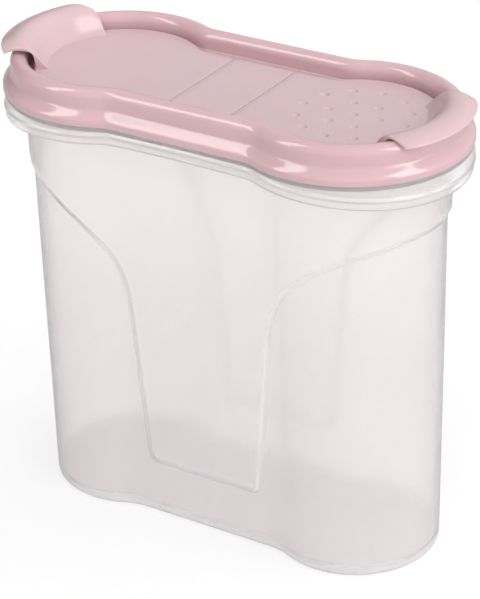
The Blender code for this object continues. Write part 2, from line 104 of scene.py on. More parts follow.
# Clear plastic: its tint and roughness, and between two heights in m, how clear it is below and above them
CLEAR_TINT = (0.99, 0.957, 0.965, 1)
CLEAR_ROUGHNESS = (0.14, 0.22)
CLEAR_RIM = ((0.138, 0.144), (0.87, 0.74))
CLEAR_WALLS = ((0.04, 0.1), (0.9, 1))
CLEAR_FOOT = ((0.002, 0.005), (0.75, 1))
PRESS_LINE_CLEARNESS = -0.18       # added where the panel's step is steepest

# Plan of the jar, in mm as all the lengths below: two lobes, a straight waist, a fillet between them
LOBE_OFFSET = 44.7
WAIST_STEP = 4.2
FILLET_REACH = 48.5
LOBE_STEPS, FILLET_STEPS, STRAIGHT_STEPS = 74, 9, 31
ROUNDING_REACH = 0.45          # share of a section's side that the rounding of a corner may take up

# Container
BASE_RADIUS = 28.4
BODY_RADIUS = 30.2
BODY_HEIGHT = 141.0
BASE_ROUND = 2.0
BODY_WALL = 1.3
WALL_TOP = 142.5
FLOOR_THICKNESS = 1.6
FLOOR_FILLET = 2.5
CAP_INSET = 1.5                # between a flat face's outer ring and the edge of its middle
ROW = 0.8                      # height of one row of the walls' mesh
PANEL_RISE = 1.3
PANEL_EDGE = 2.4               # width of the panel's soft edge
PANEL_EASE = 0.3               # share of that edge's slope that is eased, the rest is straight
PANEL_OUT = 90                 # past the jar's end
PANEL_END = (76.2, 124.5)
PANEL_NECK = (26.5, 79.0)
PANEL_FOOT = (21.5, 21.5)
PANEL_FOOT_ROUND = 3.0
PANEL_FADE_BELOW, PANEL_FADE = 1, 2.5
FUNNEL_SHARES = ((0.53, 0.14), (0.03, 0.55))  # handles of the panel's curve, as shares of its span
SHELF_TOP = 147.6
SHELF_TOP_ROUNDS = (0.5, 0.8)  # at its outer edge and at the upstand
SHELF_BOTTOM = 146.0
SHELF_BOTTOM_ROUNDS = (1.0, 0.8)
SHELF_ROOT = 0.6               # how far outside the wall the slope up to the shelf starts
FLANGE_RADIUS = 38.1
FLANGE_TOP = 144.6             # inside, where the part that hangs lower at the ends begins
FLANGE_BOTTOM = 142.3          # at the waist
FLANGE_ARCH = 4.2              # lower by this at the ends
FLANGE_WALL = 1.4
FLANGE_ROUNDS = (0.45, 0.6)    # of its lower edge, inside and outside
ROLL_HEIGHT = 145.7
ROLL_RISE = 0.48
ROLL_WIDTH = 2.2
ROLL_MARGIN = 1.2
ROLL_STEPS = 12
MOUTH_RADIUS = 31.6
MOUTH_ROUND = 0.5
MOUTH_BOTTOM = 145.3
MOUTH_FILLET = 1.2
MOUTH_EDGE = 0.6               # below the rim's top
UPSTAND_RADIUS = 33.2
RIM_OUTSIDE = 35.1
RIM_ROUND = 0.8
RIM_TOP = 151.1
INNER_WALL_POINT = (28.8, 130)  # gives the inner wall's slope under the mouth
INNER_WALL_START = 1.6         # below the mouth's step

# Lid
SKIRT_RADIUS = 38.5
SKIRT_BOTTOM = 147.85
SHOULDER_END = 1.75            # above the skirt's bottom
SHOULDER_PULLS = (2.4, 0.9)    # lengths of its curve's handles
SKIRT_ROUNDS = (0.45, 0.2)     # of its lower edge, outside and inside
SNAP_RISE = 0.5
CREASE_HEIGHT = 153.0
CREASE_ROUND = 1.6
CREASE_STEP = 5                # steps of the shoulder that the crease's round takes up
CREASE_TOP = 0.8               # below the bead's centre
DECK_TOP = 153.1
DECK_BOTTOM = 151.5
DECK_ROUND = 0.7
BEAD_RING = 32.7
BEAD_RADIUS = 3.0
BEAD_CENTRE = 156.5
LID_WALL = 1.6
PLUG_BOTTOM = 146.0
PLUG_ROUND = 0.5
SNAP_DEPTH = 0.9

# Flap insert
INSERT_BOTTOM = 153.4
INSERT_TOP = 155.0
INSERT_HALF = 20.2
TOP_EASE, BOTTOM_EASE = 0.18, 0.15
CORNER_ROUND = 0.8
FLAP_RADIUS = 27.9
NECK_ROUND = 3.0
HINGE_X = 11.6
HINGE_HALF_GAP = 0.8
WEB_TOP = 154.5
WEB_THICKNESS = 0.35
WEB_STEPS = 12
WEB_OVERLAP = 0.1
WEB_INSET = 0.3
STUD_PLACES = [(x, y) for x in (-6.0, 6.0) for y in (-13.0, 13.0)]
STUD_RADIUS = 1.9
STUD_HEAD_RADIUS = 2.7
STUD_HEAD = ((STUD_RADIUS, -1), (STUD_HEAD_RADIUS, -0.4), (STUD_HEAD_RADIUS, 0), (STUD_RADIUS, 0.05))
STUD_GAP = 0.3
JOIN_DEPTH = 0.3               # how deep a body that is joined to the insert reaches into it
RIM_JOIN_DEPTH = 0.2

# Finger tabs
TAB_FOOT_RADIUS = 21.5
TAB_WALL_RADIUS = 26.4
TAB_BACK_RADIUS = 28.3
TAB_OUTER_RADIUS = 38.9
TAB_ROOT_INSET = 0.45
TAB_THICKNESS = 1.3
TAB_DROOP = 1.7
TAB_END_DROP = 0.6
TAB_TAPER, TAB_TAPER_POWER = 0.28, 2.5
TAB_UNDER = {"pour_flap": 162.29, "shaker_flap": 160.0}
HIGH_TAB_CLEARANCE = 1
HIGH_TAB_DROPS = (2, 2.4)      # of its top and its underside, times TAB_END_DROP
TAB_FOOT_ANGLE = math.radians(46.5)
TAB_OUTER_ANGLE = math.radians(35)
TAB_STEPS = 61
TAB_END_DRAW, TAB_END_DRAW_POWER = 0.03, 8
TAB_BEVEL = (0.4, 3, 50)       # width, segments, and the angle in degrees over which an edge gets it

# Shaker and pouring ends
SIFTER_RINGS = ((9.15, 6), (18.3, 12))
SIFTER_HOLE_RADIUS = 1.7
PIN_GAP = 0.5
PIN_PROFILE = ((0.6, 1.5), (0.85, 1.3))       # share of the pin's radius, and depth below the insert
DIMPLE_RADIUS = 1.55
DIMPLE_DEPTH = 0.6
POUR_RADIUS = 21.5
POUR_OFFSET = 46.5
POUR_GAP = 0.5
POUR_RIM_WALL = 1.4
POUR_RIM_LENGTH = 2.0
POUR_RIM_CHAMFER = 0.3

# Sides of turned bodies, how far a cutting body reaches past a face, and the angle over which an edge is sharp
HOLE_SIDES, PIN_SIDES, POUR_SIDES = 40, 32, 160
CUT_PAST = 1
SHARP_ANGLE = math.radians(38)


def direction(azimuth, elevation):
    """Unit vector out from the jar: azimuth 0 is in front (-Y), and a quarter turn is the +X side."""
    return Vector((math.sin(azimuth) * math.cos(elevation), -math.cos(azimuth) * math.cos(elevation),
                   math.sin(elevation)))


def new_object(name, data):
    obj = bpy.data.objects.new(name, data)
    bpy.context.scene.collection.objects.link(obj)
    return obj


def make_camera():
    data = bpy.data.cameras.new("camera")
    data.sensor_width = SENSOR_WIDTH
    long_side = max(PHOTO_SIZE)
    data.lens = data.sensor_width * FOCAL_PIXELS / long_side
    data.shift_x = (PHOTO_SIZE[0] / 2 - AXIS_PIXEL[0]) / long_side
    data.shift_y = (AXIS_PIXEL[1] - PHOTO_SIZE[1] / 2) / long_side
    back = direction(CAMERA_AZIMUTH, CAMERA_ELEVATION)
    level = Vector((math.cos(CAMERA_AZIMUTH), math.sin(CAMERA_AZIMUTH), 0))
    upright = back.cross(level)
    right = level * math.cos(CAMERA_ROLL) + upright * math.sin(CAMERA_ROLL)
    up = back.cross(right)
    turn = Matrix((right, up, back)).transposed().to_4x4()
    camera = new_object("camera", data)
    camera.matrix_world = Matrix.Translation(CAMERA_TARGET + back * CAMERA_DISTANCE) @ turn
    bpy.context.scene.camera = camera


def make_softbox(name, azimuth, elevation, distance, size, power):
    """A softbox that looks at the lid and shows in its gloss only."""
    out = direction(math.radians(azimuth), math.radians(elevation))
    data = bpy.data.lights.new(name, "AREA")
    data.shape = "RECTANGLE"
    data.size, data.size_y = size
    data.energy = power
    lamp = new_object(name, data)
    lamp.location = SOFTBOX_TARGET + out * distance
    lamp.rotation_euler = (-out).to_track_quat("-Z", "Y").to_euler()
    lamp.visible_diffuse = False


def set_inputs(tree, target, inputs):
    """Gives each named or numbered socket of a node a value, or links it to another node's output."""
    for socket, value in inputs.items():
        if isinstance(value, bpy.types.NodeSocket):
            tree.links.new(value, target.inputs[socket])
        else:
            target.inputs[socket].default_value = value


def node(tree, kind, inputs=None, **settings):
    """A new node, with its settings and with values or links for the sockets that inputs names."""
    made = tree.nodes.new("ShaderNode" + kind)
    for name, value in settings.items():
        setattr(made, name, value)
    set_inputs(tree, made, inputs or {})
    return made


def calculate(tree, operation, *operands, **settings):
    """A Math node's output, for numbers or other nodes' outputs."""
    return node(tree, "Math", dict(enumerate(operands)), operation=operation, **settings).outputs[0]


def ranged(tree, value, source, target, **settings):
    """A value mapped from one range to another, and held within it."""
    inputs = {"Value": value, "From Min": source[0], "From Max": source[1], "To Min": target[0],
              "To Max": target[1]}
    return node(tree, "MapRange", inputs, **settings).outputs["Result"]


def toward(tree, seen, side):
    """1 where the seen direction points to a side, and less away from it, down to -1."""
    return node(tree, "VectorMath", {0: seen, 1: side}, operation="DOT_PRODUCT").outputs["Value"]


def noise(tree, place, scale, detail):
    return node(tree, "TexNoise", {"Vector": place, "Scale": scale, "Detail": detail}).outputs["Fac"]


def seen_rays(tree):
    """1 for camera, glossy and transmission rays, which see the surroundings and the paper's glow, else 0."""
    path = node(tree, "LightPath").outputs
    either = calculate(tree, "MAXIMUM", path["Is Camera Ray"], path["Is Glossy Ray"])
    return calculate(tree, "MAXIMUM", either, path["Is Transmission Ray"])


def reflected_rays(tree):
    """1 for glossy rays that don't pass through a clear wall, and 0 for the others."""
    path = node(tree, "LightPath").outputs
    return calculate(tree, "SUBTRACT", path["Is Glossy Ray"], path["Is Transmission Ray"], use_clamp=True)


def dim_reflections(tree, seen):
    """1, but for reflected rays less towards the studio's unlit far left side."""
    dark = ranged(tree, toward(tree, seen, UNLIT_SIDE), UNLIT_RANGE, (0, UNLIT_LOSS),
                  interpolation_type="SMOOTHSTEP")
    return calculate(tree, "SUBTRACT", 1, calculate(tree, "MULTIPLY", dark, reflected_rays(tree)))


def make_world():
    """Studio light, a little brighter from above and much brighter from the right, in light surroundings."""
    world = bpy.data.worlds.new("studio")
    bpy.context.scene.world = world
    world.use_nodes = True
    tree = world.node_tree
    seen = node(tree, "TexCoord").outputs["Generated"]
    height = node(tree, "SeparateXYZ", {0: seen}).outputs["Z"]
    upward = ranged(tree, height, (0, 1), (HORIZON_LIGHT, ZENITH_LIGHT))
    sideways = ranged(tree, toward(tree, seen, BRIGHT_SIDE), (-1, 1), (1 - SIDE_LIGHT, 1 + SIDE_LIGHT))
    lit = tree.nodes["Background"]
    set_inputs(tree, lit, {"Color": (1, 1, 1, 1), "Strength": calculate(tree, "MULTIPLY", upward, sideways)})
    shown = node(tree, "Background", {"Color": SURROUNDINGS, "Strength": dim_reflections(tree, seen)})
    mix = node(tree, "MixShader", {0: seen_rays(tree), 1: lit.outputs[0], 2: shown.outputs[0]})
    set_inputs(tree, tree.nodes["World Output"], {0: mix.outputs[0]})


def new_material(name):
    material = bpy.data.materials.new(name)
    material.use_nodes = True
    tree = material.node_tree
    return material, tree, tree.nodes["Principled BSDF"]


def make_floor():
    """Paper under the jar: a part of its look is its own glow, which whitens it, and it keeps the shadow."""
    mesh = bpy.data.meshes.new("floor")
    corners = [(x * FLOOR_REACH, y * FLOOR_REACH, 0) for x, y in ((-1, -1), (1, -1), (1, 1), (-1, 1))]
    mesh.from_pydata(corners, [], [(0, 1, 2, 3)])
    floor = new_object("floor", mesh)
    paper, tree, shader = new_material("paper")
    set_inputs(tree, shader, {"Base Color": PAPER_COLOUR, "Roughness": 0.9, "Specular IOR Level": 0})
    strength = ranged(tree, reflected_rays(tree), (0, 1), (FLOOR_GLOW, FLOOR_GLOSS_GLOW))
    glow = node(tree, "Emission", {"Strength": strength})
    through = node(tree, "LightPath").outputs["Is Transmission Ray"]
    more = calculate(tree, "MULTIPLY", through, FLOOR_BEHIND - FLOOR_SEEN)
    share = calculate(tree, "MULTIPLY_ADD", seen_rays(tree), FLOOR_SEEN, more)
    mix = node(tree, "MixShader", {0: share, 1: shader.outputs[0], 2: glow.outputs[0]})
    set_inputs(tree, tree.nodes["Material Output"], {0: mix.outputs[0]})
    mesh.materials.append(paper)


def uneven_surface(tree, place, roughness, gloss_noise, relief_noise, strength, distance):
    """Shader inputs for a roughness that varies within a range and a fine relief, each with its own noise."""
    rough = ranged(tree, noise(tree, place, *gloss_noise), (0, 1), roughness)
    relief = node(tree, "Bump", {"Height": noise(tree, place, *relief_noise), "Strength": strength,
                                 "Distance": distance})
    return {"Roughness": rough, "Normal": relief.outputs["Normal"]}


def pink_plastic(name, darker, lighter, roughness, gloss):
    """Moulded plastic: a faint mottle, a fine grain, an uneven gloss and a little red light inside."""
    material, tree, shader = new_material(name)
    place = node(tree, "TexCoord").outputs["Object"]
    mottle = node(tree, "ValToRGB", {"Fac": noise(tree, place, *PINK_MOTTLE)})
    for stop, position, colour in zip(mottle.color_ramp.elements, MOTTLE_STOPS, (darker, lighter)):
        stop.color = (*colour, 1)
        stop.position = position
    set_inputs(tree, shader, uneven_surface(tree, place, roughness, *PINK_SURFACE))
    set_inputs(tree, shader, {
        "Base Color": mottle.outputs["Color"], "IOR": 1.52, "Specular IOR Level": gloss,
        "Subsurface Weight": 0.35, "Subsurface Radius": (1, 0.25, 0.3), "Subsurface Scale": 0.003})
    return material


def clear_plastic():
    """Thin natural plastic, slightly milky: see-through with a soft haze and a faintly wavy surface.

    The thick rim, the foot, the lower walls and the panel's edge are milkier than the thin upper walls.
    """
    material, tree, shader = new_material("clear_moulded_plastic")
    place = node(tree, "TexCoord").outputs["Object"]
    height = node(tree, "SeparateXYZ", {0: place}).outputs["Z"]
    rim, walls, foot = (ranged(tree, height, heights, clearness, interpolation_type="SMOOTHSTEP")
                        for heights, clearness in (CLEAR_RIM, CLEAR_WALLS, CLEAR_FOOT))
    share = calculate(tree, "MULTIPLY", calculate(tree, "MULTIPLY", rim, walls), foot)
    pressed = node(tree, "Attribute", attribute_name="press_step").outputs["Fac"]
    clearness = calculate(tree, "MULTIPLY_ADD", pressed, PRESS_LINE_CLEARNESS, share)
    set_inputs(tree, shader, uneven_surface(tree, place, CLEAR_ROUGHNESS, *CLEAR_SURFACE))
    set_inputs(tree, shader, {"Base Color": CLEAR_TINT, "IOR": 1.45, "Transmission Weight": clearness})
    return material


def plan_frame():
    """Anchors and outward normals of the plan's points: the point at lobe radius r is anchor + r * normal."""
    fy = FILLET_REACH - WAIST_STEP
    fx = LOBE_OFFSET - math.sqrt(FILLET_REACH ** 2 - fy ** 2)
    contact = math.atan2(fy, fx - LOBE_OFFSET)
    anchors, normals = [], []
    for i in range(LOBE_STEPS + 1):
        a = contact * i / LOBE_STEPS
        anchors.append((LOBE_OFFSET, 0))
        normals.append((math.cos(a), math.sin(a)))
    for i in range(1, FILLET_STEPS + 1):
        b = contact - math.pi + (math.pi / 2 - contact) * i / FILLET_STEPS
        c, s = math.cos(b), math.sin(b)
        anchors.append((fx + FILLET_REACH * c, fy + FILLET_REACH * s))
        normals.append((-c, -s))
    for i in range(1, STRAIGHT_STEPS + 1):
        anchors.append((fx * (1 - i / STRAIGHT_STEPS), -WAIST_STEP))
        normals.append((0, 1))
    a, n = np.array(anchors, float), np.array(normals, float)
    flip = np.array([-1, 1])
    a = np.concatenate([a, a[-2::-1] * flip])
    n = np.concatenate([n, n[-2::-1] * flip])
    return np.concatenate([a, a[-2:0:-1] * -flip]), np.concatenate([n, n[-2:0:-1] * -flip])


ANCHORS, NORMALS = plan_frame()


def plan_ring(radius, height):
    """One ring of the jar: radius and height may be numbers or a value for each point of the plan."""
    points = ANCHORS + NORMALS * np.broadcast_to(radius, len(ANCHORS))[:, None]
    return np.column_stack([points, np.broadcast_to(height, len(ANCHORS))])


def plan_rings(section, hang=0):
    """Rings for a section's points. They hang lower by a number or by a value for each point of the plan."""
    return [plan_ring(radius, height - hang) for radius, height in section]


def arch():
    """How far the flange's edge hangs below its height at the waist, for each point of the plan."""
    x = plan_ring(FLANGE_RADIUS, 0)[:, 0]
    return FLANGE_ARCH * (x / (LOBE_OFFSET + FLANGE_RADIUS)) ** 2


def arc(centre, radius, start, end, steps):
    """Points of a round in a section, in degrees, both ends included."""
    angles = np.radians(np.linspace(start, end, steps + 1))
    return [(centre[0] + radius * math.cos(a), centre[1] + radius * math.sin(a)) for a in angles]


def soften(corners, steps=5):
    """A section's path through (x, y, rounding) corners. The first and the last one have no rounding."""
    points = [np.array(corner[:2], float) for corner in corners]
    out = []
    for i, p in enumerate(points):
        rounding = corners[i][2]
        if not rounding:
            out.append(tuple(p))
            continue
        a, b = points[i - 1] - p, points[i + 1] - p
        la, lb = np.linalg.norm(a), np.linalg.norm(b)
        half = math.acos(np.clip(a @ b / (la * lb), -1, 1)) / 2
        cut = min(rounding / math.tan(half), la * ROUNDING_REACH, lb * ROUNDING_REACH)
        start, end = p + a / la * cut, p + b / lb * cut
        for k in range(steps + 1):
            t = k / steps
            out.append(tuple((1 - t) ** 2 * start + 2 * t * (1 - t) * p + t ** 2 * end))
    return out


def bezier(points, steps):
    a, b, c, d = (Vector((*p, 0)) for p in points)
    return [(p.x, p.y) for p in interpolate_bezier(a, b, c, d, steps)]


def close_mesh(bm, mesh):
    """Turns all the faces outwards and writes them to the mesh."""
    bmesh.ops.recalc_face_normals(bm, faces=bm.faces)
    bm.to_mesh(mesh)
    bm.free()


def skin(name, rings):
    """A body through rings of equal count, in mm, with a cap at both ends."""
    count = len(rings[0])
    last = (len(rings) - 1) * count
    faces = []
    for low in range(0, last, count):
        high = low + count
        for i in range(count):
            j = (i + 1) % count
            faces.append((low + i, low + j, high + j, high + i))
    faces.append(tuple(range(count))[::-1])
    faces.append(tuple(range(last, last + count)))
    vertices = np.concatenate([np.asarray(ring, float) * MM for ring in rings])
    mesh = bpy.data.meshes.new(name)
    mesh.from_pydata(vertices.tolist(), [], faces)
    bm = bmesh.new()
    bm.from_mesh(mesh)
    close_mesh(bm, mesh)
    return new_object(name, mesh)


def turned(name, places, profile, sides):
    """Bodies turned about upright axes through some places, in one mesh: profile is (radius, height) pairs."""
    bm = bmesh.new()
    for x, y in places:
        loops = []
        for radius, height in profile:
            angles = [2 * math.pi * i / sides for i in range(sides)]
            loops.append([bm.verts.new(((x + radius * math.cos(a)) * MM, (y + radius * math.sin(a)) * MM,
                                        height * MM)) for a in angles])
        for low, high in zip(loops, loops[1:]):
            for i in range(sides):
                j = (i + 1) % sides
                bm.faces.new((low[i], low[j], high[j], high[i]))
        bm.faces.new(loops[0][::-1])
        bm.faces.new(loops[-1])
    mesh = bpy.data.meshes.new(name)
    close_mesh(bm, mesh)
    return new_object(name, mesh)


def apply_modifiers(obj):
    depsgraph = bpy.context.evaluated_depsgraph_get()
    mesh = bpy.data.meshes.new_from_object(obj.evaluated_get(depsgraph))
    obj.modifiers.clear()
    obj.data = mesh


def combine(obj, tools, operation):
    """Adds or cuts other bodies, applies the result and removes them."""
    for tool in tools:
        modifier = obj.modifiers.new(tool.name, "BOOLEAN")
        modifier.operation = operation
        modifier.solver = "EXACT"
        modifier.object = tool
    apply_modifiers(obj)
    for tool in tools:
        bpy.data.objects.remove(tool, do_unlink=True)


def bevel(obj, width, segments, angle):
    modifier = obj.modifiers.new("edges", "BEVEL")
    modifier.width = width * MM
    modifier.segments = segments
    modifier.limit_method = "ANGLE"
    modifier.angle_limit = math.radians(angle)
    apply_modifiers(obj)


def shade(mesh):
    mesh.shade_smooth()
    mesh.set_sharp_from_angle(angle=SHARP_ANGLE)


def dress(obj, material, body, slot, *nodes):
    """Shades a piece, gives it its material, and lets it ride on its body in place of CAD nodes."""
    shade(obj.data)
    modifier = obj.modifiers.new("flat faces", "WEIGHTED_NORMAL")
    modifier.keep_sharp = True
    apply_modifiers(obj)
    obj.data.materials.clear()
    obj.data.materials.append(material)
    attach(obj, body)
    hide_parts(*nodes)


def wall_radius(height):
    return BASE_RADIUS + (BODY_RADIUS - BASE_RADIUS) * height / BODY_HEIGHT


def panel_outline():
    """Right half of the funnel panel's edge in front view, from the lobe's end down to the foot's middle."""
    end, neck = np.array(PANEL_END), np.array(PANEL_NECK)
    span = end - neck
    (a, b), (c, d) = FUNNEL_SHARES
    curve = bezier([end, end - span * (a, b), neck + span * (c, d), neck], 60)
    corner = (PANEL_FOOT[0] - PANEL_FOOT_ROUND, PANEL_FOOT[1] + PANEL_FOOT_ROUND)
    foot = arc(corner, PANEL_FOOT_ROUND, 0, -90, 12)
    return np.array([(PANEL_OUT, PANEL_END[1])] + curve + foot + [(0, PANEL_FOOT[1])])


PANEL_LINE = panel_outline()


def panel_share(x, z):
    """How much of the panel's rise a point has, seen from the front: 1 inside its edge and 0 outside."""
    p = np.column_stack([np.abs(x), z])
    nearest = np.full(len(p), np.inf)
    for a, b in zip(PANEL_LINE, PANEL_LINE[1:]):
        d = b - a
        t = np.clip(((p - a) @ d) / (d @ d), 0, 1)
        nearest = np.minimum(nearest, np.linalg.norm(p - a - t[:, None] * d, axis=1))
    upwards = PANEL_LINE[np.argsort(PANEL_LINE[:, 1], kind="stable")]
    edge_x = np.interp(p[:, 1], upwards[:, 1], upwards[:, 0])
    inside = (p[:, 1] > PANEL_FOOT[1]) & ((p[:, 0] < edge_x) | (p[:, 1] > PANEL_END[1]))
    signed = np.where(inside, nearest, -nearest)
    t = np.clip(signed / PANEL_EDGE + 0.5, 0, 1)
    return (1 - PANEL_EASE) * t + PANEL_EASE * t * t * (3 - 2 * t)


def wall_rows(offset, low, high):
    """Rings of a drafted wall with the pressed panel, and how steep the panel's step is at their points."""
    rings, steepness = [], []
    for height in np.linspace(low, high, round(abs(high - low) / ROW) + 1):
        radius = wall_radius(height) + offset
        x = plan_ring(radius, 0)[:, 0]
        fade = 1 - np.clip((height - BODY_HEIGHT + PANEL_FADE_BELOW) / PANEL_FADE, 0, 1)
        share = panel_share(x, np.full(len(x), height)) * fade
        rings.append(plan_ring(radius + PANEL_RISE * share, height))
        steepness.append(4 * share * (1 - share))
    return rings, steepness


def make_container(material):
    """One skin: from the base up the outside, over the flange and the rim, and down inside to the floor."""
    foot = wall_radius(BASE_ROUND) - BASE_ROUND
    base = plan_rings([(foot - CAP_INSET, 0)] + arc((foot, BASE_ROUND), BASE_ROUND, -90, 0, 8)[:-1])
    outside, outside_steps = wall_rows(0, BASE_ROUND, WALL_TOP)

    flange_inside = FLANGE_RADIUS - FLANGE_WALL
    rim = plan_rings(soften([
        (BODY_RADIUS + SHELF_ROOT, WALL_TOP, 0), (UPSTAND_RADIUS, SHELF_BOTTOM, SHELF_BOTTOM_ROUNDS[0]),
        (flange_inside, SHELF_BOTTOM, SHELF_BOTTOM_ROUNDS[1]), (flange_inside, FLANGE_TOP, 0)])[1:])
    flange = soften([
        (flange_inside, FLANGE_TOP, 0), (flange_inside, FLANGE_BOTTOM, FLANGE_ROUNDS[0]),
        (FLANGE_RADIUS, FLANGE_BOTTOM, FLANGE_ROUNDS[1]), (FLANGE_RADIUS, ROLL_HEIGHT - ROLL_MARGIN, 0)], 4)[1:]
    for k in range(ROLL_STEPS + 1):
        t = k / ROLL_STEPS
        flange.append((FLANGE_RADIUS + ROLL_RISE * math.sin(math.pi * t) ** 2,
                       ROLL_HEIGHT - ROLL_WIDTH / 2 + ROLL_WIDTH * t))
    rim += plan_rings(flange, arch())
    rim += plan_rings(soften([
        (FLANGE_RADIUS, ROLL_HEIGHT + ROLL_MARGIN, 0), (FLANGE_RADIUS, SHELF_TOP, SHELF_TOP_ROUNDS[0]),
        (UPSTAND_RADIUS, SHELF_TOP, SHELF_TOP_ROUNDS[1]), (UPSTAND_RADIUS, RIM_TOP - 2 * RIM_ROUND, 0)])[1:])
    rim += plan_rings(arc((RIM_OUTSIDE - RIM_ROUND, RIM_TOP - RIM_ROUND), RIM_ROUND, -90, 90, 10))
    rim += plan_rings(arc((MOUTH_RADIUS + MOUTH_ROUND, RIM_TOP - MOUTH_ROUND), MOUTH_ROUND, 90, 180, 4))
    step = MOUTH_BOTTOM - (MOUTH_RADIUS - (BODY_RADIUS - BODY_WALL))
    rim += plan_rings(soften([
        (MOUTH_RADIUS, RIM_TOP - MOUTH_EDGE, 0), (MOUTH_RADIUS, MOUTH_BOTTOM, MOUTH_FILLET),
        (wall_radius(step) - BODY_WALL, step, MOUTH_FILLET), (*INNER_WALL_POINT, 0)])[1:-1])

    fillet_top = FLOOR_THICKNESS + FLOOR_FILLET
    inside, inside_steps = wall_rows(-BODY_WALL, step - INNER_WALL_START, fillet_top)
    middle = wall_radius(FLOOR_THICKNESS) - BODY_WALL - FLOOR_FILLET
    floor = plan_rings(arc((middle, fillet_top), FLOOR_FILLET, 0, -90, 8)[1:]
                       + [(middle - CAP_INSET, FLOOR_THICKNESS)])

    container = skin("clear_container_shell", base + outside + rim + inside + floor)
    flat = [np.zeros(len(ANCHORS))]
    values = flat * len(base) + outside_steps + flat * len(rim) + inside_steps + flat * len(floor)
    press_step = container.data.attributes.new("press_step", "FLOAT", "POINT")
    press_step.data.foreach_set("value", np.concatenate(values))
    dress(container, material, "container", "clear_container", "container")


def shoulder(wall):
    """The shoulder from the crease down to the skirt, or its underside at a wall's thickness inside."""
    start = (BEAD_RING + BEAD_RADIUS - wall, CREASE_HEIGHT - wall * math.tan(math.radians(22.5)))
    end = (SKIRT_RADIUS - wall, SKIRT_BOTTOM + SHOULDER_END)
    out = SHOULDER_PULLS[0] / math.sqrt(2)
    return bezier([start, (start[0] + out, start[1] - out), (end[0], end[1] + SHOULDER_PULLS[1]), end], 24)


def deck_cutter(name, places, radius, sides):
    """Upright bodies that cut holes of a radius through the deck."""
    return turned(name, places, [(radius, DECK_BOTTOM - CUT_PAST), (radius, DECK_TOP + CUT_PAST)], sides)


def make_lid_frame(material):
    """One skin: from the deck over the bead, down the skirt, up inside, round the plug and under the deck."""
    bead = (BEAD_RING, BEAD_CENTRE)
    bead_inside, bead_outside = BEAD_RING - BEAD_RADIUS, BEAD_RING + BEAD_RADIUS
    skirt_inside = SKIRT_RADIUS - LID_WALL
    path = [(bead_inside - CAP_INSET, DECK_TOP)]
    path += soften([(bead_inside - 2, DECK_TOP, 0), (bead_inside, DECK_TOP, DECK_ROUND),
                    (bead_inside, BEAD_CENTRE - 0.5, 0)])[1:-1]
    path += arc(bead, BEAD_RADIUS, 180, 0, 36)
    outer = shoulder(0)
    path += soften([(bead_outside, BEAD_CENTRE - CREASE_TOP, 0), (*outer[0], CREASE_ROUND),
                    (*outer[CREASE_STEP], 0)], 8)[1:-1]
    path += outer[CREASE_STEP:]
    path += soften([(*outer[-1], 0), (SKIRT_RADIUS, SKIRT_BOTTOM, SKIRT_ROUNDS[0]),
                    (skirt_inside, SKIRT_BOTTOM, SKIRT_ROUNDS[1]),
                    (skirt_inside - SNAP_DEPTH, SKIRT_BOTTOM + SNAP_RISE, 0)])[1:]
    path += shoulder(LID_WALL)[::-1]
    path += arc(bead, BEAD_RADIUS - LID_WALL, 0, 180, 12)
    plug = bead_inside + LID_WALL
    path += soften([(plug, BEAD_CENTRE - 1, 0), (plug, PLUG_BOTTOM, PLUG_ROUND),
                    (bead_inside, PLUG_BOTTOM, PLUG_ROUND), (bead_inside, DECK_BOTTOM, 0)])[1:]
    path.append((bead_inside - CAP_INSET, DECK_BOTTOM))
    lid = skin("lid_ring", plan_rings(path))
    combine(lid, [deck_cutter("holes", sifter_places(), SIFTER_HOLE_RADIUS, HOLE_SIDES),
                  deck_cutter("pour", [(-POUR_OFFSET, 0)], POUR_RADIUS, POUR_SIDES),
                  deck_cutter("studs", STUD_PLACES, STUD_RADIUS + STUD_GAP, HOLE_SIDES)], "DIFFERENCE")
    dress(lid, material, "lid", "pink_lid", "lid_frame")


def sifter_places():
    places = [(LOBE_OFFSET, 0)]
    for radius, count in SIFTER_RINGS:
        for i in range(count):
            a = 2 * math.pi * i / count
            places.append((LOBE_OFFSET + radius * math.cos(a), radius * math.sin(a)))
    return places


def eased_levels():
    """Levels of the insert's plates with their rounded edges, as (height, inset) pairs."""
    levels = [(INSERT_BOTTOM + BOTTOM_EASE * (1 - math.cos(a)), BOTTOM_EASE * (1 - math.sin(a)))
              for a in np.radians(np.linspace(0, 90, 5))]
    levels += [(INSERT_TOP - TOP_EASE * (1 - math.sin(a)), TOP_EASE * (1 - math.cos(a)))
               for a in np.radians(np.linspace(0, 90, 7))]
    return levels


def make_bridge(material):
    """The fixed field between the hinges, with headed studs that hold it in the deck."""
    rings = []
    for height, inset in eased_levels():
        x, y = HINGE_X - HINGE_HALF_GAP - inset, INSERT_HALF - inset
        r = CORNER_ROUND - inset
        corners = [arc((sx * (x - r), sy * (y - r)), r, start, start + 90, 6)
                   for sx, sy, start in ((1, 1, 0), (-1, 1, 90), (-1, -1, 180), (1, -1, 270))]
        rings.append([(px, py, height) for corner in corners for px, py in corner])
    bridge = skin("hinge_bridge_plate", rings)
    top = DECK_BOTTOM - STUD_GAP
    profile = [(radius, top + height) for radius, height in STUD_HEAD]
    profile.append((STUD_RADIUS, INSERT_BOTTOM + JOIN_DEPTH))
    combine(bridge, [turned("studs", STUD_PLACES, profile, HOLE_SIDES)], "UNION")
    dress(bridge, material, "lid", "pink_lid", "hinge_bridge")


